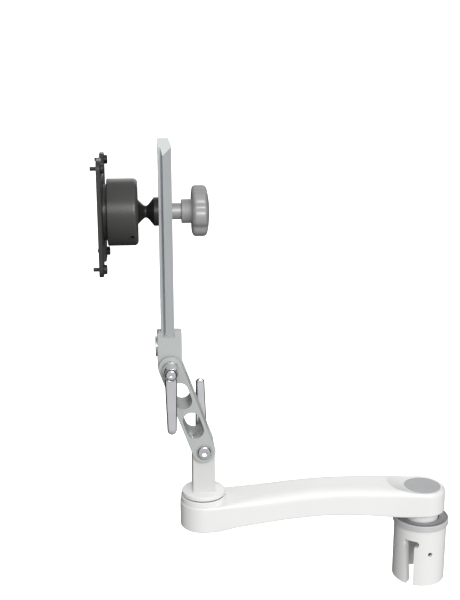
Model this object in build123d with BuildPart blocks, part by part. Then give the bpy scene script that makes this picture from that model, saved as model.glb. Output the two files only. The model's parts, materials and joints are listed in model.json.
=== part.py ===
"""Post-mounted monitor arm: socket, swing arm, tilt link, slide rail, ball head and mounting plate.

Millimetres. +Z is up, the origin is the centre of the post socket's mouth, and the arm reaches to -X.
"""
from build123d import *
from OCP.BRepFilletAPI import BRepFilletAPI_MakeFillet
from OCP.TColgp import TColgp_Array1OfPnt2d
from OCP.gp import gp_Pnt2d
import os
from math import cos, radians, sin, sqrt, tan

# ---------------------------------------------------------------- driving dimensions
# clearances
PRESS_GAP = 0.02           # pressed or screwed fits inside one moving body
RUN_GAP = 0.05             # running fits, on the radius
FACE_GAP = 0.05            # between flat faces that turn on each other
AIR_GAP = 0.3              # between curved faces of different bodies

# post socket and its index ring
SOCKET_R = 30.1
SOCKET_BORE_R = 19.25      # takes a 38.1 mm post
SOCKET_H = 69.4
SOCKET_BORE_H = 58.0
SLOT_ANGLE = -128.0        # bayonet slot, about Z from +X, in degrees
SLOT_RIGHT = 5.1           # from the slot's middle plane to its straight side
SLOT_LEFT = (2.6, 6.3)     # to its slanted side, at the mouth and at the top
SLOT_LEG_Z = (48.2, 55.8)  # the leg that runs round the wall
SLOT_LEG_ANGLES = (-136.8, -115.0)                 # centres of that leg's round ends
SET_SCREW_R = 2.6
SET_SCREW_Z = 40.0
SET_SCREW_ANGLES = (-82.5, -172.0)
RING_R = 32.0
RING_TOP_Z = 76.1
RING_TEETH = 72
RING_BORE_GAP = 1.3        # open gap round the arm's neck
RING_TEETH_R = 29.4        # middle of the band of teeth on the ring's top
SPINDLE_HEAD_R = 14.0
SPINDLE_HEAD_H = 4.45
SPINDLE_TOP_Z = 110.0

# swing arm
ARM_REACH = 254.0          # between the two swivel axes
ARM_END_R = 26.5
ARM_WAIST = 22.3           # half the width at the middle
ARM_CENTRE_Z = 121.9       # highest point of the arched top
HUB_BOTTOM_Z = 78.75       # underside of the outer hub
BASE_SEAT_Z = 112.8        # round seat of the end cap
HUB_TOP_Z = 108.6          # top of the outer hub, round its raised ring
# radius of the top's rounded rim, at distances along the arm
TOP_ROUNDING = ((-300, 1.5), (-254, 1.5), (-244, 2.0), (-228, 4.5), (-205, 8.0), (-180, 10.0),
                (-110, 10.0), (-60, 9.0), (-25, 7.0), (40, 6.0))
BOSS_R = 25.6
HUB_CORE_Z = 100.0         # the raised ring grows out of the arm from here
BOSS_TOP_Z = 115.5
NECK_R = 19.8
BUSH_R = 12.5
SHAFT_R = 10.0
CAP_R = 20.8
POCKET_ROOF_Z = 106.0

# square post on the outer hub
POST_W = 25.0
POST_SHOULDER_Z = 116.5
COLLAR_R = 24.3
COLLAR_TOP_Z = 123.2

# tilt link
LOWER_PIVOT_Z = 173.3
LINK_LENGTH = 103.7        # between the two tilt axes
LINK_LEAN = 20.0           # degrees towards -X at rest
LINK_R = 12.7
LINK_T = 38.1
FORK_GAP = 26.8
FORK_DEPTH = 20.0
LINK_SLOT_R = 9.4
LINK_SLOT_PITCH = 36.6
LINK_SLOT_RUN = 12.0
BOLT_R = 4.0
BOLT_SEAT = LINK_T / 2 - 1.2        # floor of a bolt head's round seat, from the middle plane
BOLT_SEAT_R = 9.2
BOLT_HEAD_R = 7.6
BOLT_HEX_R = 3.5
BOLT_HEAD_H = 4.2
BOLT_END = 31.0            # threaded end, on the lever's side

# clamping levers
LEVER_FLANGE_R = 8.75
LEVER_HUB_R = 8.0

# rail bracket
BRACKET_W = 26.2
BRACKET_T = 25.0
BRACKET_TOP_Z = 310.2
BRACKET_BACK_SLOPE = 20.0  # degrees, behind the middle of the cheeks' tops
RAIL_SEAT_Z = 303.7
TONGUE_Z = 281.0
TONGUE_HALF = 8.0

# rail
RAIL_TOP_Z = 512.6
RAIL_LEFT_X = -298.2
RAIL_RIGHT_X = -284.2
RAIL_RIDGE_HALF = 20.0
RAIL_EDGE_HALF = 11.6
RAIL_SLOT_HALF = 6.0
RAIL_SLOT_Z = (334.0, 500.0)
RAIL_BEVEL = (2.5, 6.7)    # corner taken off the top, across and down

# ball head
BALL_Z = 437.3
BALL_X = -331.2
BALL_R = 17.5
SEAT_T = 2.0
HOUSING_R = 34.9
HOUSING_X = (-351.2, -319.4)
STUD_NECK = (-311.2, 6.4)  # where the ball stud is thinnest, and its radius there
FLANGE_X = -354.5          # front face of the mounting plate
PLATE_X = -359.0           # back face of the mounting plate
PLATE_W = 116.0

# clamp knob
KNOB_X = (-263.9, -245.6)
KNOB_R = 27.0
KNOB_LOBES = 7
KNOB_START_ANGLE = 9.6     # first hollow between lobes, from +Y towards +Z
HUB_X = -274.5
HUB_R = 12.65
KNOB_BORE_R = 6.5
KNOB_CAP_R = 9.5
CLAMP_R = 4.0
SLEEVE_R = 8.55

# ---------------------------------------------------------------- derived places
POST_X = -ARM_REACH
LEAN = radians(LINK_LEAN)
LINK_U = Vector(cos(LEAN), 0, sin(LEAN))           # across the link
LINK_V = Vector(-sin(LEAN), 0, cos(LEAN))          # along the link
LOWER_PIVOT = Vector(POST_X, 0, LOWER_PIVOT_Z)
UPPER_PIVOT = LOWER_PIVOT + LINK_V * LINK_LENGTH
BRACKET_X = UPPER_PIVOT.X
LINK_PLANE = Plane(origin=LOWER_PIVOT, x_dir=LINK_U, z_dir=(0, -1, 0))
UPPER_PLANE = Plane(origin=UPPER_PIVOT, x_dir=(1, 0, 0), z_dir=(0, -1, 0))
POST_PLANE = Plane(origin=LOWER_PIVOT, x_dir=(1, 0, 0), z_dir=(0, -1, 0))
HEAD_PLANE = Plane(origin=(0, 0, BALL_Z), x_dir=(1, 0, 0), z_dir=(0, -1, 0))
HEAD_AXIS = Axis((0, 0, BALL_Z), (1, 0, 0))
CAVITY_R = BALL_R + 0.1 + SEAT_T + AIR_GAP

os.makedirs("parts", exist_ok=True)


def save(part, name):
    """Label one finished piece and write it as its own STEP file."""
    part.label = name
    export_step(part, f"parts/{name}.step")


def tube(radius, bore, low, high, x=0.0):
    """Upright tube about a vertical axis at x, from low to high."""
    with BuildPart() as made:
        with BuildSketch(Plane.XY.offset(low)):
            with Locations((x, 0)):
                Circle(radius)
                if bore:
                    Circle(bore, mode=Mode.SUBTRACT)
        extrude(amount=high - low)
    return made.part


def shared_edges(faces, others):
    """Edges that belong to one of faces and one of others."""
    other_edges = others.edges()
    return [edge for edge in faces.edges() if any(edge.is_same(other) for other in other_edges)]


def across(x, height, way=1):
    """Plane at x that faces +X (way 1) or -X (way -1), centred at height; its sketch x is +Y."""
    return Plane(origin=(x, 0, height), x_dir=(0, 1, 0), z_dir=(way, 0, 0))


# ================================================================ socket (fixed body)
def wall_plane(angle, height=0.0):
    """Plane on the socket's axis that faces out along angle: its x is up and its y is clockwise."""
    return Plane(origin=(0, 0, height), x_dir=(0, 0, 1), z_dir=(cos(radians(angle)), sin(radians(angle)), 0))


with BuildPart() as socket_body:
    with BuildSketch(Plane.XY):
        Circle(SOCKET_R)
    extrude(amount=SOCKET_H)
    fillet(socket_body.edges().group_by(Axis.Z)[-1], radius=2.0)
    fillet(socket_body.edges().group_by(Axis.Z)[0], radius=0.8)
    with BuildSketch(Plane.XY):
        Circle(SOCKET_BORE_R)
    extrude(amount=SOCKET_BORE_H, mode=Mode.SUBTRACT)
    # stepped hole for the spindle and its head
    with BuildSketch(Plane.XY.offset(SOCKET_BORE_H)):
        Circle(SPINDLE_HEAD_R + AIR_GAP)
    extrude(amount=SPINDLE_HEAD_H + FACE_GAP, mode=Mode.SUBTRACT)
    with BuildSketch(Plane.XY.offset(SOCKET_BORE_H)):
        Circle(SHAFT_R + PRESS_GAP)
    extrude(amount=SOCKET_H - SOCKET_BORE_H, mode=Mode.SUBTRACT)
    # bayonet slot: an upright leg with one slanted side, then a round-ended leg round the wall
    with BuildSketch(wall_plane(SLOT_ANGLE)):
        with BuildLine():
            Polyline(
                (-1, -SLOT_RIGHT),
                (SLOT_LEG_Z[0] + 1, -SLOT_RIGHT),
                (SLOT_LEG_Z[0] + 1, SLOT_LEFT[1]),
                (-1, SLOT_LEFT[0]),
                close=True,
            )
        make_face()
    extrude(amount=SOCKET_R + 1, mode=Mode.SUBTRACT)
    leg_r = (SLOT_LEG_Z[1] - SLOT_LEG_Z[0]) / 2
    leg_z = (SLOT_LEG_Z[1] + SLOT_LEG_Z[0]) / 2
    leg_half_turn = radians(SLOT_LEG_ANGLES[1] - SLOT_LEG_ANGLES[0]) / 2
    with BuildSketch(wall_plane(sum(SLOT_LEG_ANGLES) / 2, leg_z)):
        Rectangle(2 * leg_r, 2 * SOCKET_R * sin(leg_half_turn))
    extrude(amount=SOCKET_R + 1, mode=Mode.SUBTRACT)
    for angle in SLOT_LEG_ANGLES:
        with BuildSketch(wall_plane(angle, leg_z)):
            Circle(leg_r)
        extrude(amount=SOCKET_R + 1, mode=Mode.SUBTRACT)
    # threaded holes for the two set screws
    for angle in SET_SCREW_ANGLES:
        with BuildSketch(wall_plane(angle, SET_SCREW_Z)):
            Circle(SET_SCREW_R)
        extrude(amount=SOCKET_R + 1, mode=Mode.SUBTRACT)
save(socket_body.part, "socket_body")

SET_SCREW_END = 27.0       # outer end of a set screw, from the socket's axis
with BuildPart() as socket_set_screws:
    for angle in SET_SCREW_ANGLES:
        with BuildSketch(wall_plane(angle, SET_SCREW_Z).offset(SOCKET_BORE_R + 1)):
            Circle(SET_SCREW_R - PRESS_GAP)
        extrude(amount=SET_SCREW_END - SOCKET_BORE_R - 1)
        with BuildSketch(wall_plane(angle, SET_SCREW_Z).offset(SET_SCREW_END)):
            RegularPolygon(1.5, 6)
        extrude(amount=-2.5, mode=Mode.SUBTRACT)
save(socket_set_screws.part, "socket_set_screws")

with BuildPart() as index_ring:
    with BuildSketch(Plane.XY.offset(SOCKET_H)):
        Circle(RING_R)
        Circle(NECK_R + RING_BORE_GAP, mode=Mode.SUBTRACT)
    extrude(amount=RING_TOP_Z - SOCKET_H)
    chamfer(index_ring.edges().group_by(Axis.Z)[-1].sort_by(SortBy.RADIUS)[-1], length=0.9)
    with BuildSketch(Plane.XY.offset(RING_TOP_Z - 1.5)):
        with PolarLocations(RING_TEETH_R, RING_TEETH):
            Rectangle(2.6, 1.4)
    extrude(amount=2, mode=Mode.SUBTRACT)
save(index_ring.part, "index_ring")

with BuildPart() as base_spindle:
    with BuildSketch(Plane.XY.offset(SOCKET_BORE_H)):
        Circle(SPINDLE_HEAD_R)
    extrude(amount=SPINDLE_HEAD_H)
    with BuildSketch(Plane.XY.offset(SOCKET_BORE_H)):
        Circle(SHAFT_R)
    extrude(amount=SPINDLE_TOP_Z - SOCKET_BORE_H)
    chamfer(base_spindle.edges().group_by(Axis.Z)[-1], length=1.0)
    with BuildSketch(Plane.XY.offset(SOCKET_BORE_H)):
        RegularPolygon(6.0, 6)
    extrude(amount=3.5, mode=Mode.SUBTRACT)
save(base_spindle.part, "base_spindle")

NECK_BOTTOM_Z = SOCKET_H + 2.1
base_thrust_washer = tube(NECK_R - 0.5, SHAFT_R + AIR_GAP, SOCKET_H + PRESS_GAP, NECK_BOTTOM_Z - FACE_GAP)
save(base_thrust_washer, "base_thrust_washer")

NUT_FLOOR_Z = 100.3
DISC_SPRING_H = 1.5
with BuildPart() as spindle_disc_springs:
    for low in (NUT_FLOOR_Z + FACE_GAP, NUT_FLOOR_Z + FACE_GAP + DISC_SPRING_H + PRESS_GAP):
        with BuildSketch(Plane.XY.offset(low)):
            Circle(16.4)
            Circle(SHAFT_R + 0.15, mode=Mode.SUBTRACT)
        extrude(amount=DISC_SPRING_H)
save(spindle_disc_springs.part, "spindle_disc_springs")

with BuildPart() as spindle_nut:
    with BuildSketch(Plane.XY.offset(NUT_FLOOR_Z + 3.2)):
        RegularPolygon(15.6, 6)
        Circle(SHAFT_R + PRESS_GAP, mode=Mode.SUBTRACT)
    extrude(amount=6.0)
    chamfer(spindle_nut.faces().sort_by(Axis.Z)[-1].outer_wire().edges(), length=0.6)
save(spindle_nut.part, "spindle_nut")

# ================================================================ swing arm
def radius_at(x, stations):
    """Radius at a distance along the arm, from stations of distance and radius."""
    for (start, first), (end, last) in zip(stations, stations[1:]):
        if start <= x <= end:
            return first + (last - first) * (x - start) / (end - start)
    raise ValueError(f"no radius at {x}")


def soften(solid, edge, stations):
    """Round the whole rim that an edge belongs to, with a radius that changes along the arm."""
    maker = BRepFilletAPI_MakeFillet(solid.wrapped)
    maker.Add(edge.wrapped)
    for index in range(1, maker.NbEdges(1) + 1):
        piece = Edge(maker.Edge(1, index))
        count = 9 if piece.length > ARM_REACH / 2 else 3
        law = TColgp_Array1OfPnt2d(1, count)
        for step in range(count):
            along = step / (count - 1)
            law.SetValue(step + 1, gp_Pnt2d(along, radius_at((piece @ along).X, stations)))
        maker.SetRadius(law, 1, index)
    return Solid(maker.Shape())


# a circle that touches both end rounds from outside sets each waisted side
HALF_REACH = ARM_REACH / 2
SIDE_R = (HALF_REACH**2 + ARM_WAIST**2 - ARM_END_R**2) / (2 * (ARM_END_R - ARM_WAIST))
side_centre = Vector(-HALF_REACH, ARM_WAIST + SIDE_R)
touch = side_centre.normalized() * ARM_END_R       # on the inner end round, seen from its own centre
with BuildPart() as arm_body:
    with BuildSketch(Plane.XZ.offset(-ARM_END_R - 5)):
        with BuildLine():
            top = Spline(
                (POST_X + 6, HUB_TOP_Z),
                (-228, 111.0),
                (-200, 115.0),
                (-170, 118.4),
                (-105, ARM_CENTRE_Z),
                (-45, 118.8),
                (ARM_END_R + 2, 113.2),
                tangents=[(1, 0), (1, -0.06)],
            )
            belly = Spline(
                (POST_X + 10, HUB_BOTTOM_Z),
                (-226, 81.2),
                (-200, 84.6),
                (-170, 87.8),
                (-146, 89.7),
                (-110, 91.0),
                (-55, 87.6),
                (-18, 85.0),
                tangents=[(1, 0), (1, 0)],
            )
            Line(belly @ 1, (ARM_END_R + 2, 85.0))
            Line((ARM_END_R + 2, 85.0), top @ 1)
            Line(top @ 0, (POST_X - ARM_END_R - 2, HUB_TOP_Z))
            Line((POST_X - ARM_END_R - 2, HUB_TOP_Z), (POST_X - ARM_END_R - 2, HUB_BOTTOM_Z))
            Line((POST_X - ARM_END_R - 2, HUB_BOTTOM_Z), belly @ 0)
        make_face()
    extrude(amount=2 * ARM_END_R + 10)
    with BuildSketch(Plane.XY.offset(HUB_BOTTOM_Z - 5)):
        with BuildLine():
            ThreePointArc((touch.X, touch.Y), (-HALF_REACH, ARM_WAIST), (-ARM_REACH - touch.X, touch.Y))
            ThreePointArc((-ARM_REACH - touch.X, touch.Y), (-ARM_REACH - ARM_END_R, 0),
                          (-ARM_REACH - touch.X, -touch.Y))
            ThreePointArc((-ARM_REACH - touch.X, -touch.Y), (-HALF_REACH, -ARM_WAIST), (touch.X, -touch.Y))
            ThreePointArc((touch.X, -touch.Y), (ARM_END_R, 0), (touch.X, touch.Y))
        make_face()
    extrude(amount=60, mode=Mode.INTERSECT)
    upper = arm_body.faces().filter_by(lambda face: face.normal_at().Z > 0.5)
    sides = arm_body.faces().filter_by(lambda face: abs(face.normal_at().Z) < 0.3)
    softened = soften(arm_body.part.solid(), shared_edges(upper, sides)[0], TOP_ROUNDING)
    add(softened, mode=Mode.REPLACE)
    lower = arm_body.faces().filter_by(lambda face: face.normal_at().Z < -0.5)
    sides = arm_body.faces().filter_by(lambda face: abs(face.normal_at().Z) < 0.3)
    fillet(shared_edges(lower, sides), radius=2.0)
    # the outer hub's raised ring
    with BuildSketch(Plane.XZ):
        with BuildLine():
            Polyline(
                (POST_X, HUB_CORE_Z),
                (POST_X + BOSS_R, HUB_CORE_Z),
                (POST_X + BOSS_R, BOSS_TOP_Z - 0.7),
                (POST_X + BOSS_R - 0.7, BOSS_TOP_Z),
                (POST_X, BOSS_TOP_Z),
                close=True,
            )
        make_face()
    revolve(axis=Axis((POST_X, 0, 0), (0, 0, 1)))
    # neck that turns inside the index ring
    with BuildSketch(Plane.XY.offset(NECK_BOTTOM_Z)):
        Circle(NECK_R)
    extrude(amount=90 - NECK_BOTTOM_Z)
    # shallow dish that leads the arched top down to the end cap's seat
    with BuildSketch(Plane.XZ):
        with BuildLine():
            Polyline(
                (0, BASE_SEAT_Z),
                (CAP_R + 0.9, BASE_SEAT_Z),
                (CAP_R + 34, ARM_CENTRE_Z + 0.7),
                (0, ARM_CENTRE_Z + 0.7),
                close=True,
            )
        make_face()
    revolve(axis=Axis.Z, mode=Mode.SUBTRACT)
    # end cap's recess, nut pocket and bore
    for radius, low, high in (
        (CAP_R + 0.12, BASE_SEAT_Z - 2.0, 130.0),
        (18.0, NUT_FLOOR_Z, 130.0),
        (BUSH_R + PRESS_GAP, NECK_BOTTOM_Z - 1, 130.0),
    ):
        with BuildSketch(Plane.XY.offset(low)):
            Circle(radius)
        extrude(amount=high - low, mode=Mode.SUBTRACT)
    # outer hub's bore and washer pocket
    for radius, low, high in ((BUSH_R + PRESS_GAP, 70.0, 130.0), (17.0, 70.0, 85.0)):
        with BuildSketch(Plane.XY.offset(low)):
            with Locations((POST_X, 0)):
                Circle(radius)
        extrude(amount=high - low, mode=Mode.SUBTRACT)
    # cable pocket in the underside
    with BuildSketch(Plane.XY.offset(POCKET_ROOF_Z)):
        with Locations((-HALF_REACH + 2, 0)):
            SlotOverall(168, 27)
    extrude(amount=-40, mode=Mode.SUBTRACT)
save(arm_body.part, "arm_body")

with BuildPart() as end_cap:
    with BuildSketch(Plane.XY.offset(BASE_SEAT_Z - 1.98)):
        Circle(CAP_R)
    extrude(amount=1.98)
    chamfer(end_cap.edges().group_by(Axis.Z)[-1], length=0.3)
    with BuildSketch(Plane.XY.offset(BASE_SEAT_Z - 5.0)):
        Circle(17.9)
        Circle(16.3, mode=Mode.SUBTRACT)
    extrude(amount=3.1)
save(end_cap.part, "end_cap")


def bush_pair(x, spans):
    """Two plain bearing bushes on one swivel axis."""
    with BuildPart() as made:
        for low, high in spans:
            with BuildSketch(Plane.XY.offset(low)):
                with Locations((x, 0)):
                    Circle(BUSH_R)
                    Circle(SHAFT_R + RUN_GAP, mode=Mode.SUBTRACT)
            extrude(amount=high - low)
    return made.part


save(bush_pair(0, ((NECK_BOTTOM_Z + 0.1, 85.5), (86.2, NUT_FLOOR_Z - 0.1))), "base_bushes")
save(bush_pair(POST_X, ((85.1, 99.5), (100.6, BOSS_TOP_Z - 0.1))), "post_bushes")

# ================================================================ square post
with BuildPart() as post_body:
    with BuildSketch(Plane.XY.offset(POST_SHOULDER_Z)):
        with Locations((POST_X, 0)):
            RectangleRounded(POST_W, POST_W, 1.2)
    extrude(amount=LOWER_PIVOT_Z - POST_SHOULDER_Z)
    with BuildSketch(POST_PLANE.offset(-POST_W / 2)):
        Circle(POST_W / 2)
    extrude(amount=POST_W)
    with BuildSketch(Plane.XY.offset(85.0)):
        with Locations((POST_X, 0)):
            Circle(SHAFT_R)
    extrude(amount=POST_SHOULDER_Z - 84.9)
    with BuildSketch(POST_PLANE.offset(-POST_W)):
        Circle(BOLT_R + RUN_GAP)
    extrude(amount=2 * POST_W, mode=Mode.SUBTRACT)
    with BuildSketch(Plane.XY.offset(80)):
        with Locations((POST_X, 0)):
            Circle(BOLT_R)
    extrude(amount=28, mode=Mode.SUBTRACT)
save(post_body.part, "post_body")

save(tube(23.4, SHAFT_R + 0.3, BOSS_TOP_Z + FACE_GAP, POST_SHOULDER_Z - 0.02, POST_X), "post_thrust_washer")

with BuildPart() as collar:
    with BuildSketch(Plane(origin=(POST_X, 0, 0), x_dir=(1, 0, 0), z_dir=(0, -1, 0))):
        with BuildLine():
            Polyline(
                (0, POST_SHOULDER_Z),
                (COLLAR_R - 0.5, POST_SHOULDER_Z),
                (COLLAR_R, POST_SHOULDER_Z + 0.5),
                (COLLAR_R, COLLAR_TOP_Z - 2.8),
                (COLLAR_R - 0.7, COLLAR_TOP_Z - 2.0),
                (POST_W / 2, COLLAR_TOP_Z),
                (0, COLLAR_TOP_Z),
                close=True,
            )
        make_face()
    revolve(axis=Axis((POST_X, 0, 0), (0, 0, 1)))
    with BuildSketch(Plane.XY.offset(POST_SHOULDER_Z - 1)):
        with Locations((POST_X, 0)):
            RectangleRounded(POST_W + 2 * PRESS_GAP, POST_W + 2 * PRESS_GAP, 1.2)
    extrude(amount=12, mode=Mode.SUBTRACT)
save(collar.part, "collar")

save(tube(15.5, BOLT_R + 0.1, 82.4, 84.95, POST_X), "post_washer")

with BuildPart() as post_screw:
    with BuildSketch(Plane.XY.offset(79.0)):
        with Locations((POST_X, 0)):
            Circle(7.0)
    extrude(amount=3.35)
    fillet(post_screw.edges().group_by(Axis.Z)[0], radius=1.6)
    with BuildSketch(Plane.XY.offset(82.0)):
        with Locations((POST_X, 0)):
            Circle(BOLT_R - PRESS_GAP)
    extrude(amount=22)
    with BuildSketch(Plane.XY.offset(79.0)):
        with Locations((POST_X, 0)):
            RegularPolygon(2.9, 6)
    extrude(amount=2.2, mode=Mode.SUBTRACT)
save(post_screw.part, "post_screw")

# ================================================================ tilt link
with BuildPart() as link_body:
    with BuildSketch(LINK_PLANE.offset(-LINK_T / 2)):
        with Locations((0, LINK_LENGTH / 2)):
            SlotCenterToCenter(LINK_LENGTH, 2 * LINK_R, rotation=90)
    extrude(amount=LINK_T)
    chamfer(link_body.faces().filter_by(Axis.Y).edges(), length=0.6)
    # fork at each end
    with BuildSketch(LINK_PLANE.offset(-FORK_GAP / 2)):
        for along in (FORK_DEPTH - 25, LINK_LENGTH - FORK_DEPTH + 25):
            with Locations((0, along)):
                Rectangle(3 * LINK_R, 50)
    extrude(amount=FORK_GAP, mode=Mode.SUBTRACT)
    # two round-ended slots right through
    with BuildSketch(LINK_PLANE.offset(-LINK_T)):
        for side in (-1, 1):
            with Locations((0, LINK_LENGTH / 2 + side * LINK_SLOT_PITCH / 2)):
                SlotCenterToCenter(LINK_SLOT_RUN, 2 * LINK_SLOT_R, rotation=90)
    extrude(amount=2 * LINK_T, mode=Mode.SUBTRACT)
    # bolt holes, and shallow round seats for the bolt heads
    with BuildSketch(LINK_PLANE.offset(-LINK_T)):
        with Locations((0, 0), (0, LINK_LENGTH)):
            Circle(BOLT_R + PRESS_GAP)
    extrude(amount=2 * LINK_T, mode=Mode.SUBTRACT)
    with BuildSketch(LINK_PLANE.offset(BOLT_SEAT)):
        Circle(BOLT_SEAT_R)
    extrude(amount=3, mode=Mode.SUBTRACT)
    with BuildSketch(LINK_PLANE.offset(-BOLT_SEAT)):
        with Locations((0, LINK_LENGTH)):
            Circle(BOLT_SEAT_R)
    extrude(amount=-3, mode=Mode.SUBTRACT)
save(link_body.part, "link_body")


def pivot_bolt(plane, side):
    """Button-head socket bolt through a fork: its head is on side +1, the front, or -1, the back."""
    with BuildPart() as made:
        with BuildSketch(plane.offset(side * BOLT_SEAT)):
            Circle(BOLT_HEAD_R)
        extrude(amount=side * BOLT_HEAD_H)
        fillet(made.edges().filter_by(GeomType.CIRCLE).sort_by(Axis.Y)[0 if side > 0 else -1], radius=2.4)
        with BuildSketch(plane.offset(-side * BOLT_END)):
            Circle(BOLT_R - PRESS_GAP)
        extrude(amount=side * (BOLT_END + BOLT_SEAT + 0.1))
        with BuildSketch(plane.offset(side * (BOLT_SEAT + BOLT_HEAD_H))):
            RegularPolygon(BOLT_HEX_R, 6)
        extrude(amount=-side * 2.8, mode=Mode.SUBTRACT)
    return made.part


save(pivot_bolt(POST_PLANE, 1), "lower_pivot_bolt")
save(pivot_bolt(UPPER_PLANE, -1), "upper_pivot_bolt")


def friction_washers(plane, inner_half):
    """The two friction washers between a fork's cheeks and what it holds."""
    outer_half = FORK_GAP / 2
    with BuildPart() as made:
        for side in (-1, 1):
            with BuildSketch(plane.offset(side * (inner_half + FACE_GAP))):
                Circle(11.6)
                Circle(BOLT_R + 0.15, mode=Mode.SUBTRACT)
            extrude(amount=side * (outer_half - inner_half - 2 * FACE_GAP))
    return made.part


save(friction_washers(POST_PLANE, POST_W / 2), "lower_friction_washers")
save(friction_washers(UPPER_PLANE, BRACKET_T / 2), "upper_friction_washers")


# ================================================================ clamping levers
# distances from the link's middle plane, outwards
INSERT_STEP = 33.2         # end of the insert's toothed shank
INSERT_TOP = 39.0          # outer end of the insert's pin
HUB_NEAR = 22.6
HUB_FAR = 41.6
WEB_NEAR = 33.5            # inner web that the return spring presses on
WEB_FAR = 34.6
PIN_R = 2.6
SCREW_R = 1.5
POCKET_R = 6.3
FACE = LINK_T / 2
# sections of a handle's arm, at these reaches from its axis: width, thickness, distance of the middle
ARM_SECTIONS = ((1.0, 12.6, 9.0, 34.0), (28.0, 11.4, 7.0, 37.6), (60.0, 9.4, 6.0, 43.2))


def lever_disc(made_on, near, far, radius, side, mode=Mode.ADD):
    """Round step about a lever's axis between two distances from the link's middle plane."""
    with BuildSketch(made_on.offset(side * near)) as disc:
        Circle(radius)
    extrude(disc.sketch, amount=side * (far - near), mode=mode)


def lever_insert(plane, side):
    """Flanged nut that carries the lever: side +1 is the front."""
    with BuildPart() as made:
        lever_disc(plane, FACE + FACE_GAP, FACE + 3.2, LEVER_FLANGE_R, side)
        lever_disc(plane, FACE + 3.0, INSERT_STEP, 5.2, side)
        lever_disc(plane, INSERT_STEP - 0.5, INSERT_TOP, PIN_R, side)
        lever_disc(plane, FACE, BOLT_END + 0.3, BOLT_R, side, Mode.SUBTRACT)
        lever_disc(plane, INSERT_TOP - 4.4, INSERT_TOP + 1, SCREW_R, side, Mode.SUBTRACT)
    return made.part


def lever_screw(plane, side):
    """Button-head screw that keeps the handle on its insert."""
    with BuildPart() as made:
        lever_disc(plane, INSERT_TOP + 0.02, INSERT_TOP + 3.2, 5.7, side)
        fillet(made.edges().filter_by(GeomType.CIRCLE).sort_by(Axis.Y)[0 if side > 0 else -1], radius=1.6)
        lever_disc(plane, INSERT_TOP - 4.2, INSERT_TOP + 0.5, SCREW_R - PRESS_GAP, side)
        with BuildSketch(plane.offset(side * (INSERT_TOP + 3.2))):
            RegularPolygon(2.0, 6)
        extrude(amount=-side * 1.8, mode=Mode.SUBTRACT)
    return made.part


def lever_spring(plane, side):
    """Return spring between the handle's inner web and the screw's head."""
    wire_r = 0.35
    near = WEB_FAR + wire_r + 0.08
    far = INSERT_TOP - wire_r - 0.08
    axis_out = plane.z_dir * side
    start = plane.origin + axis_out * near
    with BuildPart() as made:
        with BuildLine():
            coil = Helix(pitch=(far - near) / 2.5, height=far - near, radius=4.3,
                         center=start, direction=axis_out)
        with BuildSketch(Plane(origin=coil @ 0, z_dir=coil % 0)):
            Circle(wire_r)
        sweep(path=coil, is_frenet=True)
    return made.part


def lever_handle(plane, side, down):
    """Cast handle: a round hub and a tapering arm that rises away from the link; down is +1 or -1."""
    tip_reach, tip_width, tip_t, tip_offset = ARM_SECTIONS[-1]
    with BuildPart() as made:
        with BuildSketch(plane.offset(side * HUB_NEAR)):
            Circle(LEVER_HUB_R)
        extrude(amount=side * (HUB_FAR - HUB_NEAR), taper=3)
        for pair in zip(ARM_SECTIONS, ARM_SECTIONS[1:]):
            for reach, width, thick, offset in pair:
                section_plane = Plane(
                    origin=plane.origin + plane.z_dir * (side * offset) - Vector(0, 0, 1) * (down * reach),
                    x_dir=(1, 0, 0),
                    z_dir=(0, 0, -down),
                )
                with BuildSketch(section_plane):
                    RectangleRounded(width, thick, 2.2)
            loft()
        tip_origin = plane.origin - Vector(0, 0, 1) * (down * tip_reach)
        tip_plane = Plane(origin=tip_origin, x_dir=(1, 0, 0), z_dir=plane.z_dir * side)
        with BuildSketch(tip_plane.offset(tip_offset - tip_t / 2)):
            Circle(tip_width / 2)
        extrude(amount=tip_t)
        fillet(made.edges().filter_by(GeomType.CIRCLE).group_by(Axis.Z)[0 if down > 0 else -1], radius=1.5)
        lever_disc(plane, HUB_NEAR - 1, WEB_NEAR, 5.5, side, Mode.SUBTRACT)
        lever_disc(plane, WEB_NEAR - 1, WEB_FAR + 1, PIN_R + 0.4, side, Mode.SUBTRACT)
        lever_disc(plane, WEB_FAR, HUB_FAR + 10, POCKET_R, side, Mode.SUBTRACT)
    return made.part


for name, plane, side, down in (
    ("front", UPPER_PLANE, 1, 1),
    ("rear", POST_PLANE, -1, -1),
):
    save(lever_insert(plane, side), f"{name}_lever_insert")
    save(lever_screw(plane, side), f"{name}_lever_screw")
    save(lever_spring(plane, side), f"{name}_lever_spring")
    save(lever_handle(plane, side, down), f"{name}_lever_handle")

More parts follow.
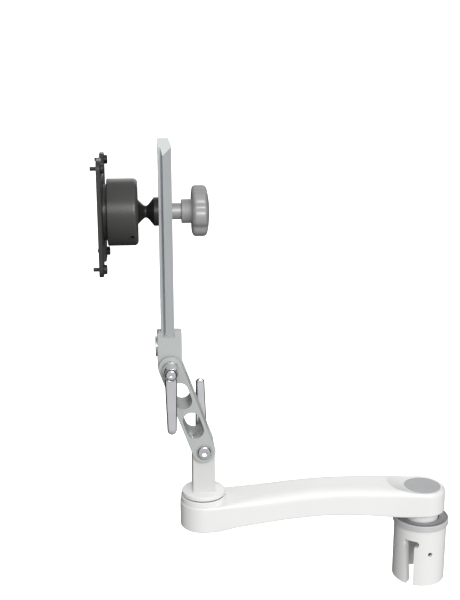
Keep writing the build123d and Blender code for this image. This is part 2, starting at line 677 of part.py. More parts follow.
# ================================================================ rail bracket and rail
RAIL_X = (RAIL_LEFT_X + RAIL_RIGHT_X) / 2
RAIL_W = RAIL_RIGHT_X - RAIL_LEFT_X
CLAMP_SCREW_Z = 291.0
CLAMP_SCREW_R = 3.0
with BuildPart() as bracket_body:
    with BuildSketch(Plane.XZ.offset(-BRACKET_T / 2)):
        with Locations((BRACKET_X, (UPPER_PIVOT.Z + BRACKET_TOP_Z) / 2)):
            Rectangle(BRACKET_W, BRACKET_TOP_Z - UPPER_PIVOT.Z)
        with Locations((BRACKET_X, UPPER_PIVOT.Z)):
            Circle(BRACKET_W / 2)
    extrude(amount=BRACKET_T)
    fillet(bracket_body.edges().filter_by(Axis.Y).group_by(Axis.Z)[-1], radius=3.6)
    chamfer(bracket_body.faces().filter_by(Axis.Y).edges(), length=0.5)
    with BuildSketch(Plane.YZ.offset(BRACKET_X - BRACKET_W)):
        with BuildLine():
            Polyline(
                (0, BRACKET_TOP_Z),
                (BRACKET_T, BRACKET_TOP_Z - BRACKET_T * tan(radians(BRACKET_BACK_SLOPE))),
                (BRACKET_T, BRACKET_TOP_Z + 1),
                (0, BRACKET_TOP_Z + 1),
                close=True,
            )
        make_face()
    extrude(amount=2 * BRACKET_W, mode=Mode.SUBTRACT)
    with BuildSketch(Plane.XY.offset(RAIL_SEAT_Z)):
        with Locations((RAIL_X, 0)):
            Rectangle(RAIL_W + 2 * PRESS_GAP, 2 * BRACKET_T)
    extrude(amount=40, mode=Mode.SUBTRACT)
    with BuildSketch(Plane.XY.offset(TONGUE_Z - 0.1)):
        with Locations((RAIL_X, 0)):
            Rectangle(RAIL_W + 2 * PRESS_GAP, 2 * TONGUE_HALF + 2 * PRESS_GAP)
    extrude(amount=40, mode=Mode.SUBTRACT)
    with BuildSketch(UPPER_PLANE.offset(-BRACKET_T)):
        Circle(BOLT_R + RUN_GAP)
    extrude(amount=2 * BRACKET_T, mode=Mode.SUBTRACT)
    with BuildSketch(across(-310, CLAMP_SCREW_Z)):
        Circle(CLAMP_SCREW_R + PRESS_GAP)
    extrude(amount=31, mode=Mode.SUBTRACT)
save(bracket_body.part, "bracket_body")

with BuildPart() as rail:
    with BuildSketch(Plane.XY.offset(TONGUE_Z)):
        with BuildLine():
            Polyline(
                (RAIL_LEFT_X, -RAIL_EDGE_HALF),
                (RAIL_LEFT_X + 2.5, -RAIL_EDGE_HALF),
                (RAIL_LEFT_X + 4.6, -RAIL_RIDGE_HALF),
                (RAIL_RIGHT_X, -RAIL_EDGE_HALF),
                (RAIL_RIGHT_X, RAIL_EDGE_HALF),
                (RAIL_LEFT_X + 4.6, RAIL_RIDGE_HALF),
                (RAIL_LEFT_X + 2.5, RAIL_EDGE_HALF),
                (RAIL_LEFT_X, RAIL_EDGE_HALF),
                close=True,
            )
        make_face()
    extrude(amount=RAIL_TOP_Z - TONGUE_Z)
    # both ends cut at 45 degrees on each flank, with a tongue left at the foot
    foot_half = BRACKET_T / 2 + 0.1
    with BuildSketch(Plane(origin=(RAIL_X, 0, 0), x_dir=(0, 1, 0), z_dir=(1, 0, 0)).offset(-RAIL_W)):
        with BuildLine():
            Polyline(
                (-3.7, RAIL_TOP_Z),
                (-RAIL_RIDGE_HALF - 1, RAIL_TOP_Z - RAIL_RIDGE_HALF + 2.7),
                (-RAIL_RIDGE_HALF - 1, RAIL_SEAT_Z + RAIL_RIDGE_HALF + 1 - foot_half),
                (-foot_half, RAIL_SEAT_Z),
                (-TONGUE_HALF, RAIL_SEAT_Z),
                (-TONGUE_HALF, TONGUE_Z),
                (TONGUE_HALF, TONGUE_Z),
                (TONGUE_HALF, RAIL_SEAT_Z),
                (foot_half, RAIL_SEAT_Z),
                (RAIL_RIDGE_HALF + 1, RAIL_SEAT_Z + RAIL_RIDGE_HALF + 1 - foot_half),
                (RAIL_RIDGE_HALF + 1, RAIL_TOP_Z - RAIL_RIDGE_HALF + 2.7),
                (3.7, RAIL_TOP_Z),
                close=True,
            )
        make_face()
    extrude(amount=2 * RAIL_W, mode=Mode.INTERSECT)
    # bevelled corner at the top
    with BuildSketch(Plane.XZ.offset(-RAIL_RIDGE_HALF - 1)):
        with BuildLine():
            Polyline(
                (RAIL_RIGHT_X - RAIL_BEVEL[0], RAIL_TOP_Z),
                (RAIL_RIGHT_X, RAIL_TOP_Z - RAIL_BEVEL[1]),
                (RAIL_RIGHT_X + 1, RAIL_TOP_Z - RAIL_BEVEL[1]),
                (RAIL_RIGHT_X + 1, RAIL_TOP_Z + 1),
                (RAIL_RIGHT_X - RAIL_BEVEL[0], RAIL_TOP_Z + 1),
                close=True,
            )
        make_face()
    extrude(amount=2 * RAIL_RIDGE_HALF + 2, mode=Mode.SUBTRACT)
    # long slot that the clamp stud slides in
    slot_mid = sum(RAIL_SLOT_Z) / 2
    slot_run = RAIL_SLOT_Z[1] - RAIL_SLOT_Z[0]
    with BuildSketch(Plane(origin=(-310, 0, slot_mid), x_dir=(0, 0, 1), z_dir=(1, 0, 0))):
        SlotOverall(slot_run, 2 * RAIL_SLOT_HALF)
    extrude(amount=40, mode=Mode.SUBTRACT)
    with BuildSketch(across(-310, CLAMP_SCREW_Z)):
        Circle(CLAMP_SCREW_R + PRESS_GAP)
    extrude(amount=40, mode=Mode.SUBTRACT)
save(rail.part, "rail")

BRACKET_LEFT_X = BRACKET_X - BRACKET_W / 2
with BuildPart() as rail_clamp_screw:
    head_plane = across(BRACKET_LEFT_X - 0.02, CLAMP_SCREW_Z, -1)
    with BuildSketch(head_plane):
        Circle(11.0)
    extrude(amount=1.9)
    chamfer(rail_clamp_screw.edges().group_by(Axis.X)[0], length=0.5)
    with BuildSketch(head_plane.offset(-22.5)):
        Circle(CLAMP_SCREW_R)
    extrude(amount=22.6)
    with BuildSketch(head_plane.offset(1.9)):
        RegularPolygon(2.4, 6)
    extrude(amount=-1.5, mode=Mode.SUBTRACT)
save(rail_clamp_screw.part, "rail_clamp_screw")

# ================================================================ carriage: ball stud, key, sleeve, knob
STUD_FACE_X = RAIL_LEFT_X - FACE_GAP
STUD_END_X = -255.0
STUD_BASE_R = 15.0
cone_touch = BALL_R / sqrt(2)          # where a 45 degree cone touches the ball
with BuildPart() as ball_stud:
    with BuildSketch(HEAD_PLANE):
        with BuildLine():
            waist = Spline(
                (BALL_X + cone_touch, cone_touch),
                STUD_NECK,
                (STUD_FACE_X - 6.4, 12.9),
                tangents=[(1, -1), (1, 1.3)],
            )
            Line(waist @ 1, (STUD_FACE_X - 4.6, STUD_BASE_R))
            Polyline(
                (STUD_FACE_X - 4.6, STUD_BASE_R),
                (STUD_FACE_X, STUD_BASE_R),
                (STUD_FACE_X, CLAMP_R),
                (STUD_END_X, CLAMP_R),
                (STUD_END_X, 0),
                (BALL_X - BALL_R, 0),
            )
            ThreePointArc((BALL_X - BALL_R, 0), (BALL_X, BALL_R), (BALL_X + cone_touch, cone_touch))
        make_face()
    revolve(axis=HEAD_AXIS)
save(ball_stud.part, "ball_stud")

with BuildPart() as slide_key:
    with BuildSketch(Plane(origin=(RAIL_LEFT_X + 0.3, 0, BALL_Z), x_dir=(0, 0, 1), z_dir=(1, 0, 0))):
        SlotOverall(26, 2 * RAIL_SLOT_HALF - 0.3)
        Circle(CLAMP_R + PRESS_GAP, mode=Mode.SUBTRACT)
    extrude(amount=RAIL_W - 0.6)
save(slide_key.part, "slide_key")

with BuildPart() as clamp_sleeve:
    with BuildSketch(across(RAIL_RIGHT_X + FACE_GAP, BALL_Z)):
        Circle(SLEEVE_R)
        Circle(CLAMP_R + RUN_GAP, mode=Mode.SUBTRACT)
    extrude(amount=HUB_X - RAIL_RIGHT_X - 2 * FACE_GAP)
save(clamp_sleeve.part, "clamp_sleeve")

LOBE_CUT_R = 8.0
LOBE_CUT_DEPTH = 2.2
LOBE_CUT_AT = KNOB_R + LOBE_CUT_R - LOBE_CUT_DEPTH
INSERT_L = 24.0            # threaded insert in the knob
with BuildPart() as knob_body:
    with BuildSketch(across(KNOB_X[0], BALL_Z)):
        Circle(KNOB_R)
        with PolarLocations(LOBE_CUT_AT, KNOB_LOBES, start_angle=KNOB_START_ANGLE):
            Circle(LOBE_CUT_R, mode=Mode.SUBTRACT)
    extrude(amount=KNOB_X[1] - KNOB_X[0])
    fillet(knob_body.edges().filter_by(Axis.X), radius=5.0)
    fillet(knob_body.faces().filter_by(Axis.X).edges(), radius=3.0)
    with BuildSketch(across(HUB_X, BALL_Z)):
        Circle(HUB_R)
    extrude(amount=KNOB_X[0] - HUB_X + 1)
    with BuildSketch(across(HUB_X, BALL_Z)):
        Circle(KNOB_BORE_R)
    extrude(amount=INSERT_L + 0.5, mode=Mode.SUBTRACT)
    with BuildSketch(across(KNOB_X[1] + 1, BALL_Z, -1)):
        Circle(KNOB_CAP_R)
    extrude(amount=3.0, mode=Mode.SUBTRACT)
save(knob_body.part, "knob_body")

with BuildPart() as knob_insert:
    with BuildSketch(across(HUB_X + 0.3, BALL_Z)):
        Circle(KNOB_BORE_R - PRESS_GAP)
        Circle(CLAMP_R + RUN_GAP, mode=Mode.SUBTRACT)
    extrude(amount=INSERT_L)
save(knob_insert.part, "knob_insert")

with BuildPart() as knob_cap:
    with BuildSketch(across(KNOB_X[1] - 1.95, BALL_Z)):
        Circle(KNOB_CAP_R - FACE_GAP)
    extrude(amount=1.75)
    chamfer(knob_cap.edges().group_by(Axis.X)[-1], length=0.4)
save(knob_cap.part, "knob_cap")

# ================================================================ ball head


def seat_ring(from_angle, to_angle, front):
    """Part of a thin ball seat between two angles from the head's axis; front is the side of the stud."""
    inner = BALL_R + 0.1
    outer = inner + SEAT_T
    sign = 1 if front else -1

    def at(radius, angle):
        return (BALL_X + sign * radius * cos(radians(angle)), radius * sin(radians(angle)))

    middle = (from_angle + to_angle) / 2
    with BuildPart() as made:
        with BuildSketch(HEAD_PLANE):
            with BuildLine():
                ThreePointArc(at(inner, from_angle), at(inner, middle), at(inner, to_angle))
                Line(at(inner, to_angle), at(outer, to_angle))
                ThreePointArc(at(outer, to_angle), at(outer, middle), at(outer, from_angle))
                Line(at(outer, from_angle), at(inner, from_angle))
            make_face()
        revolve(axis=HEAD_AXIS)
    return made.part


save(seat_ring(22.0, 62.0, False), "rear_ball_seat")
save(seat_ring(69.0, 89.5, True), "front_ball_seat")

LIP_X = BALL_X + 9.9
HOUSING_BORE_R = CAVITY_R + 0.1
HOUSING_SCREW_R = 24.0      # pitch radius of the four screws from the plate
MOUTH_R = 15.9
M5_R = 2.5
CONTACT_X = -325.6         # where the friction screws bear on the front seat
FRICTION_ANGLES = (220.0, 40.0)
with BuildPart() as housing_body:
    with BuildSketch(HEAD_PLANE):
        with BuildLine():
            Polyline((HOUSING_X[0], 0), (HOUSING_X[1], 0), (HOUSING_X[1], HOUSING_R),
                     (HOUSING_X[0], HOUSING_R), close=True)
        make_face()
    revolve(axis=HEAD_AXIS)
    fillet(housing_body.edges().group_by(Axis.X)[-1], radius=4.5)
    fillet(housing_body.edges().group_by(Axis.X)[0], radius=1.2)
    # ball cavity: a half sphere in front, a plain bore behind, and a narrower mouth
    with BuildSketch(HEAD_PLANE):
        with BuildLine():
            lip_r = sqrt(CAVITY_R**2 - (LIP_X - BALL_X) ** 2)
            bend = radians(65)
            Line((HOUSING_X[0] - 1, 0), (LIP_X, 0))
            Line((LIP_X, 0), (LIP_X, lip_r))
            ThreePointArc((LIP_X, lip_r), (BALL_X + CAVITY_R * cos(bend), CAVITY_R * sin(bend)),
                          (BALL_X, CAVITY_R))
            Line((BALL_X, CAVITY_R), (BALL_X, HOUSING_BORE_R))
            Line((BALL_X, HOUSING_BORE_R), (HOUSING_X[0] - 1, HOUSING_BORE_R))
            Line((HOUSING_X[0] - 1, HOUSING_BORE_R), (HOUSING_X[0] - 1, 0))
        make_face()
    revolve(axis=HEAD_AXIS, mode=Mode.SUBTRACT)
    mouth = across(LIP_X - 2, BALL_Z)
    with BuildSketch(mouth):
        Circle(MOUTH_R)
    extrude(amount=6, mode=Mode.SUBTRACT)
    back = across(HOUSING_X[0], BALL_Z)
    with BuildSketch(back):
        with PolarLocations(HOUSING_SCREW_R, 4, start_angle=45):
            Circle(M5_R + PRESS_GAP)
    extrude(amount=14, mode=Mode.SUBTRACT)
    for angle in FRICTION_ANGLES:
        out = (0, cos(radians(angle)), sin(radians(angle)))
        with BuildSketch(Plane(origin=(CONTACT_X, 0, BALL_Z), x_dir=(1, 0, 0), z_dir=out)):
            Circle(M5_R + PRESS_GAP)
        extrude(amount=HOUSING_R + 2, mode=Mode.SUBTRACT)
save(housing_body.part, "housing_body")

with BuildPart() as friction_set_screws:
    for angle in FRICTION_ANGLES:
        out = (0, cos(radians(angle)), sin(radians(angle)))
        screw_plane = Plane(origin=(CONTACT_X, 0, BALL_Z), x_dir=(1, 0, 0), z_dir=out)
        with BuildSketch(screw_plane.offset(CAVITY_R + 0.6)):
            Circle(M5_R)
        extrude(amount=HOUSING_R - CAVITY_R - 2.2)
        with BuildSketch(screw_plane.offset(HOUSING_R - 1.6)):
            RegularPolygon(1.45, 6)
        extrude(amount=-2.5, mode=Mode.SUBTRACT)
save(friction_set_screws.part, "friction_set_screws")

COVER_R = 29.0
PLUG_R = HOUSING_BORE_R - PRESS_GAP
PLUG_X = BALL_X - 4.9      # inner end of the cover's plug
DISH_R = CAVITY_R + FACE_GAP
with BuildPart() as ball_cover:
    with BuildSketch(HEAD_PLANE):
        with BuildLine():
            rim = (PLUG_X, sqrt(DISH_R**2 - (BALL_X - PLUG_X) ** 2))
            deepest = (BALL_X - DISH_R, 0)
            half_way = DISH_R / sqrt(2)
            Polyline(
                deepest,
                (FLANGE_X + PRESS_GAP, 0),
                (FLANGE_X + PRESS_GAP, COVER_R),
                (HOUSING_X[0] - PRESS_GAP, COVER_R),
                (HOUSING_X[0] - PRESS_GAP, PLUG_R),
                (PLUG_X, PLUG_R),
                rim,
            )
            ThreePointArc(rim, (BALL_X - half_way, half_way), deepest)
        make_face()
    revolve(axis=HEAD_AXIS)
    with BuildSketch(across(FLANGE_X, BALL_Z)):
        with PolarLocations(HOUSING_SCREW_R, 4, start_angle=45):
            Circle(M5_R + 0.1)
    extrude(amount=6, mode=Mode.SUBTRACT)
save(ball_cover.part, "ball_cover")

VESA_LARGE = 100.0
VESA_SMALL = 75.0
VESA_HOLE_R = 2.25
NOTCH_W = 54.0
NOTCH_DEPTH = 19.0
PLATE_T = FLANGE_X - PLATE_X
PLATE_PLANE = across(PLATE_X, BALL_Z)
with BuildPart() as vesa_plate:
    with BuildSketch(PLATE_PLANE):
        RectangleRounded(PLATE_W, PLATE_W, 9.0)
        for side in (-1, 1):
            with Locations((0, side * PLATE_W / 2)):
                RectangleRounded(NOTCH_W, 2 * NOTCH_DEPTH, 9.0, mode=Mode.SUBTRACT)
    extrude(amount=PLATE_T)
    fillet(vesa_plate.edges().group_by(Axis.X)[-1], radius=1.2)
    for spacing in (VESA_LARGE, VESA_SMALL):
        with BuildSketch(PLATE_PLANE):
            with GridLocations(spacing, spacing, 2, 2):
                Circle(VESA_HOLE_R)
        extrude(amount=10, mode=Mode.SUBTRACT)
    # countersunk holes for the screws that hold the ball cover and the housing
    with BuildSketch(PLATE_PLANE):
        with PolarLocations(HOUSING_SCREW_R, 4, start_angle=45):
            Circle(4.9)
    extrude(amount=2.4, taper=45, mode=Mode.SUBTRACT)
    with BuildSketch(PLATE_PLANE):
        with PolarLocations(HOUSING_SCREW_R, 4, start_angle=45):
            Circle(M5_R + 0.1)
    extrude(amount=10, mode=Mode.SUBTRACT)
save(vesa_plate.part, "vesa_plate")

with BuildPart() as housing_screws:
    with BuildSketch(PLATE_PLANE.offset(0.1)):
        with PolarLocations(HOUSING_SCREW_R, 4, start_angle=45):
            Circle(4.75)
    extrude(amount=2.3, taper=45)
    with BuildSketch(PLATE_PLANE.offset(0.1)):
        with PolarLocations(HOUSING_SCREW_R, 4, start_angle=45):
            Circle(M5_R - PRESS_GAP)
    extrude(amount=20)
    with BuildSketch(PLATE_PLANE.offset(0.1)):
        with PolarLocations(HOUSING_SCREW_R, 4, start_angle=45):
            RegularPolygon(1.7, 6)
    extrude(amount=1.8, mode=Mode.SUBTRACT)
save(housing_screws.part, "housing_screws")

SCREW_STICK_OUT = 6.0      # how far the plate's own screws reach into a display
SCREW_SHANK_R = 2.15       # plain shank, a little longer than the plate is thick
SCREW_THREAD_R = 2.0
SCREW_HEAD_H = 3.4
SCREW_PLANE = across(FLANGE_X + FACE_GAP, BALL_Z)
with BuildPart() as display_screws:
    with BuildSketch(SCREW_PLANE):
        with GridLocations(VESA_LARGE, VESA_LARGE, 2, 2):
            Circle(4.8)
    extrude(amount=SCREW_HEAD_H)
    fillet(display_screws.edges().group_by(Axis.X)[-1], radius=1.0)
    for radius, reach in ((SCREW_SHANK_R, PLATE_T + 0.4), (SCREW_THREAD_R, PLATE_T + SCREW_STICK_OUT)):
        with BuildSketch(SCREW_PLANE.offset(0.1)):
            with GridLocations(VESA_LARGE, VESA_LARGE, 2, 2):
                Circle(radius)
        extrude(amount=-reach - 0.1)
    with BuildSketch(SCREW_PLANE.offset(SCREW_HEAD_H)):
        with GridLocations(VESA_LARGE, VESA_LARGE, 2, 2):
            Rectangle(4.6, 0.9)
            Rectangle(0.9, 4.6)
    extrude(amount=-1.6, mode=Mode.SUBTRACT)
save(display_screws.part, "display_screws")
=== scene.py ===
"""Studio view of the post-mounted monitor arm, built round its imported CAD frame. Metres, +Z up."""

import json
import math

import bmesh
import bpy
from mathutils import Matrix, Vector


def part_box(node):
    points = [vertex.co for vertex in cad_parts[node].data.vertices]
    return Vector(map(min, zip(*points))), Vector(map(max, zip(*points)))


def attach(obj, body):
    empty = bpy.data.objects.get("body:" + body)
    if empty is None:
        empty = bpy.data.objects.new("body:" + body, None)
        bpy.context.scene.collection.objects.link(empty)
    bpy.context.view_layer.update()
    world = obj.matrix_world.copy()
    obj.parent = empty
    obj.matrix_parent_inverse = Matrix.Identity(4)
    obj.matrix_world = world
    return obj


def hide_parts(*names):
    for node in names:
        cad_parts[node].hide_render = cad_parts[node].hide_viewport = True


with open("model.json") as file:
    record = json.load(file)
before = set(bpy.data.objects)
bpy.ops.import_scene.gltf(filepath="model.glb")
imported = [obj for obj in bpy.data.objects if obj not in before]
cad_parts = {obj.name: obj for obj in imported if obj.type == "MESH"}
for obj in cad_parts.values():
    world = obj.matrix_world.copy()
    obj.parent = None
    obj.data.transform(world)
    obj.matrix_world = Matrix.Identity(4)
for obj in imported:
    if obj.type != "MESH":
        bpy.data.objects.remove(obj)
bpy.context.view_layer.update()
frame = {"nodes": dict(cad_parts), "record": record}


# ---------------------------------------------------------------- camera
CAMERA_PLACE = Vector((-0.3153, -0.9467, 0.5780))
CAMERA_AZIMUTH = math.radians(-5.54)
CAMERA_PITCH = math.radians(14.04)
CAMERA_ROLL = math.radians(-0.11)
CAMERA_LENS = 54.65                     # millimetres, on a sensor this wide
CAMERA_SENSOR = 36.0
CAMERA_CLIP = (0.01, 50.0)


def make_camera():
    """Camera at the picture's viewing angle."""
    forward = Vector((
        -math.sin(CAMERA_AZIMUTH) * math.cos(CAMERA_PITCH),
        math.cos(CAMERA_AZIMUTH) * math.cos(CAMERA_PITCH),
        -math.sin(CAMERA_PITCH),
    ))
    level = Vector((math.cos(CAMERA_AZIMUTH), math.sin(CAMERA_AZIMUTH), 0.0))
    above = level.cross(forward)
    right = level * math.cos(CAMERA_ROLL) + above * math.sin(CAMERA_ROLL)
    up = above * math.cos(CAMERA_ROLL) - level * math.sin(CAMERA_ROLL)
    lens = bpy.data.cameras.new("camera")
    lens.sensor_width = CAMERA_SENSOR
    lens.lens = CAMERA_LENS
    lens.clip_start, lens.clip_end = CAMERA_CLIP
    camera = bpy.data.objects.new("camera", lens)
    turn = Matrix((right, up, -forward)).transposed().to_4x4()
    camera.matrix_world = Matrix.Translation(CAMERA_PLACE) @ turn
    bpy.context.scene.collection.objects.link(camera)
    bpy.context.scene.camera = camera


# ---------------------------------------------------------------- materials
NOISE_SPREAD = (0.3, 0.7)              # most of a noise texture's values lie between these
RAMP_STOPS = (0.32, 0.68)
DUST_SCALE = 6.0                       # an enamel's dust, beside its orange peel
DUST_DEPTH = 0.12


class Graph:
    """A material's node graph, with one short method for each kind of node that the materials use."""

    def __init__(self, name):
        self.material = bpy.data.materials.new(name)
        self.material.use_nodes = True
        self.tree = self.material.node_tree
        self.shader = self.tree.nodes["Principled BSDF"]
        coordinates = self.tree.nodes.new("ShaderNodeTexCoord")
        self.place = coordinates.outputs["Object"]

    def node(self, kind, **settings):
        made = self.tree.nodes.new(kind)
        for key, value in settings.items():
            setattr(made, key, value)
        return made

    def link(self, source, target):
        self.tree.links.new(source, target)

    def set(self, **values):
        """Set the shader's own sockets, with an underscore for each space in a name."""
        for key, value in values.items():
            self.shader.inputs[key.replace("_", " ")].default_value = value

    def stretched(self, scale):
        """The object's coordinates, scaled differently along each axis."""
        mapping = self.node("ShaderNodeMapping")
        mapping.inputs["Scale"].default_value = scale
        self.link(self.place, mapping.inputs["Vector"])
        return mapping.outputs["Vector"]

    def noise(self, scale, detail=3.0, roughness=0.5, vector=None):
        texture = self.node("ShaderNodeTexNoise")
        texture.inputs["Scale"].default_value = scale
        texture.inputs["Detail"].default_value = detail
        texture.inputs["Roughness"].default_value = roughness
        self.link(vector or self.place, texture.inputs["Vector"])
        return texture.outputs["Fac"]

    def ranged(self, value, low, high):
        """A value from a noise, spread from low to high."""
        spread = self.node("ShaderNodeMapRange")
        spread.inputs["From Min"].default_value = NOISE_SPREAD[0]
        spread.inputs["From Max"].default_value = NOISE_SPREAD[1]
        spread.inputs["To Min"].default_value = low
        spread.inputs["To Max"].default_value = high
        self.link(value, spread.inputs["Value"])
        return spread.outputs["Result"]

    def maths(self, operation, first, second=0.0):
        """One math node on two values, each a socket or a plain number."""
        made = self.node("ShaderNodeMath", operation=operation)
        for socket, value in zip(made.inputs, (first, second)):
            if isinstance(value, float):
                socket.default_value = value
            else:
                self.link(value, socket)
        return made.outputs["Value"]

    def mixed(self, factor, first, second):
        """Mix of two colours, each a socket or a plain colour."""
        made = self.node("ShaderNodeMix", data_type="RGBA")
        self.link(factor, made.inputs[0])
        for socket, colour in ((made.inputs[6], first), (made.inputs[7], second)):
            if isinstance(colour, tuple):
                socket.default_value = colour
            else:
                self.link(colour, socket)
        return made.outputs[2]

    def blend(self, value, first, second):
        """A colour that a noise drives from the first to the second."""
        ramp = self.node("ShaderNodeValToRGB")
        for element, position, colour in zip(ramp.color_ramp.elements, RAMP_STOPS, (first, second)):
            element.position = position
            element.color = (*colour, 1.0)
        self.link(value, ramp.inputs["Fac"])
        return ramp.outputs["Color"]

    def bump(self, height, depth, under=None):
        """A normal from a height in metres, over another normal if one is given."""
        made = self.node("ShaderNodeBump")
        made.inputs["Strength"].default_value = 1.0
        made.inputs["Distance"].default_value = depth
        self.link(height, made.inputs["Height"])
        if under is not None:
            self.link(under, made.inputs["Normal"])
        return made.outputs["Normal"]

    def finish(self, colour, roughness, normal):
        self.link(colour, self.shader.inputs["Base Color"])
        self.link(roughness, self.shader.inputs["Roughness"])
        self.link(normal, self.shader.inputs["Normal"])
        return self.material


def lighter(colour, factor):
    """A colour made lighter or darker by a factor."""
    return tuple(min(1.0, part * factor) for part in colour)


def enamel(name, colour, roughness, coat, grain_scale, grain_depth, variation=0.02):
    """Sprayed or powder-coated enamel: a faint orange-peel skin under a thin clear layer."""
    graph = Graph(name)
    clouds = graph.noise(14.0, 4.0)
    peel = graph.noise(grain_scale, 2.0, 0.4)
    dust = graph.noise(grain_scale * DUST_SCALE, 2.0, 0.6)
    graph.set(Coat_Weight=coat, Coat_Roughness=0.12, Specular_IOR_Level=0.5)
    tint = graph.blend(clouds, lighter(colour, 1.0 - variation), lighter(colour, 1.0 + variation * 0.5))
    skin = graph.bump(peel, grain_depth)
    fine = graph.bump(dust, grain_depth * DUST_DEPTH, under=skin)
    return graph.finish(tint, graph.ranged(dust, roughness * 0.9, roughness * 1.15), fine)


def cast_metal(name, colour, roughness, metallic, grain_scale, grain_depth, waviness=0.0):
    """Bead-blasted or barrel-polished casting: fine pits over a slow waviness."""
    graph = Graph(name)
    patches = graph.noise(45.0, 4.0)
    pits = graph.noise(grain_scale, 3.0, 0.6)
    graph.set(Metallic=metallic)
    tint = graph.blend(patches, lighter(colour, 0.93), lighter(colour, 1.05))
    slow = graph.bump(graph.noise(160.0, 2.0), waviness)
    fine = graph.bump(pits, grain_depth, under=slow)
    return graph.finish(tint, graph.ranged(pits, roughness * 0.85, roughness * 1.2), fine)


def drawn_metal(name, colour, roughness, metallic, along, depth):
    """Extruded or turned metal with fine lines; along gives the scale on each axis, low along the lines."""
    graph = Graph(name)
    lines = graph.noise(1.0, 4.0, 0.6, graph.stretched(along))
    patches = graph.noise(30.0, 3.0)
    graph.set(Metallic=metallic)
    tint = graph.blend(lines, lighter(colour, 0.94), lighter(colour, 1.05))
    fine = graph.bump(lines, depth)
    slow = graph.bump(patches, depth * 0.5, under=fine)
    return graph.finish(tint, graph.ranged(lines, roughness * 0.85, roughness * 1.2), slow)


def moulded(name, colour, roughness, grain_scale=2600.0, grain_depth=0.00004):
    """Spark-textured moulded plastic."""
    graph = Graph(name)
    grain = graph.noise(grain_scale, 3.0, 0.6)
    clouds = graph.noise(60.0, 3.0)
    tint = graph.blend(clouds, lighter(colour, 0.96), lighter(colour, 1.03))
    skin = graph.bump(grain, grain_depth)
    return graph.finish(tint, graph.ranged(grain, roughness * 0.9, roughness * 1.1), skin)


RING_TEETH = 72
RING_TEETH_R = (0.0268, 0.0308)         # the band of slots in the index ring's top
RING_SLOT_COSINE = -0.2                 # a little more than half of each pitch is slot
RING_RIM_R = 0.0309                     # outside this the ring's bevelled top edge and side are painted lighter, as lit metal


def index_ring_metal():
    """Cast index ring: its blasted top annulus painted darker as shade, near-black painted shade in the
    slots between its teeth, a flat mid-grey band over the teeth, and its rim and side painted lighter as
    lit metal.
    """
    graph = Graph("index_ring_metal")
    axes = graph.node("ShaderNodeSeparateXYZ")
    graph.link(graph.place, axes.inputs["Vector"])
    x, y = axes.outputs["X"], axes.outputs["Y"]
    square = graph.maths("ADD", graph.maths("MULTIPLY", x, x), graph.maths("MULTIPLY", y, y))
    radius = graph.maths("SQRT", square)
    turn = graph.maths("MULTIPLY", graph.maths("ARCTAN2", y, x), float(RING_TEETH))
    in_slot = graph.maths("GREATER_THAN", graph.maths("COSINE", turn), RING_SLOT_COSINE)
    in_band = graph.maths(
        "MULTIPLY",
        graph.maths("GREATER_THAN", radius, RING_TEETH_R[0]),
        graph.maths("LESS_THAN", radius, RING_TEETH_R[1]),
    )
    # painted shade: the slots between the teeth are made near-black
    slot_shade = graph.maths("MULTIPLY", graph.maths("MULTIPLY", in_slot, in_band), 0.95)
    on_annulus = graph.maths("LESS_THAN", radius, RING_RIM_R)
    grain = graph.noise(2600.0, 3.0, 0.6)
    clouds = graph.noise(60.0, 3.0)
    # painted light and shade: the rim and side are lit metal, the top annulus inside them a darker shaded
    # copy
    rim = graph.blend(clouds, (0.56, 0.565, 0.575), (0.61, 0.615, 0.625))
    annulus = graph.blend(grain, (0.27, 0.275, 0.28), (0.36, 0.365, 0.37))
    metal = graph.mixed(on_annulus, rim, annulus)
    # the band over the teeth is a flat mid grey, lighter than the inner annulus
    teeth_band_grey = graph.mixed(in_band, metal, (0.50, 0.50, 0.50, 1.0))
    colour = graph.mixed(slot_shade, teeth_band_grey, (0.015, 0.015, 0.015, 1.0))
    return graph.finish(colour, graph.ranged(grain, 0.40, 0.48), graph.bump(grain, 0.00003))


RAIL_TOP_SUM = 0.5163                   # |y| + z on the sawn faces at the rail's top
RAIL_FOOT_SUM = 0.2911                  # z - |y| on the sawn faces at its foot
SAWN_SKIN = 0.0002


def sawn_extrusion():
    """Anodised extrusion with lines along Z, and brighter bare metal where its ends were sawn."""
    graph = Graph("anodised_extrusion")
    axes = graph.node("ShaderNodeSeparateXYZ")
    graph.link(graph.place, axes.inputs["Vector"])
    z = axes.outputs["Z"]
    aside = graph.maths("ABSOLUTE", axes.outputs["Y"])
    top = graph.maths("GREATER_THAN", graph.maths("ADD", z, aside), RAIL_TOP_SUM - SAWN_SKIN)
    foot = graph.maths("LESS_THAN", graph.maths("SUBTRACT", z, aside), RAIL_FOOT_SUM + SAWN_SKIN)
    lines = graph.noise(1.0, 4.0, 0.6, graph.stretched((2600.0, 2600.0, 6.0)))
    saw_marks = graph.noise(1.0, 3.0, 0.6, graph.stretched((30.0, 2400.0, 2400.0)))
    anodised = graph.blend(lines, (0.475, 0.505, 0.515), (0.53, 0.56, 0.57))
    bare = graph.blend(saw_marks, (0.66, 0.69, 0.685), (0.72, 0.75, 0.745))
    graph.set(Metallic=0.2)
    colour = graph.mixed(graph.maths("MAXIMUM", top, foot), anodised, bare)
    return graph.finish(colour, graph.ranged(lines, 0.36, 0.50), graph.bump(lines, 0.00002))


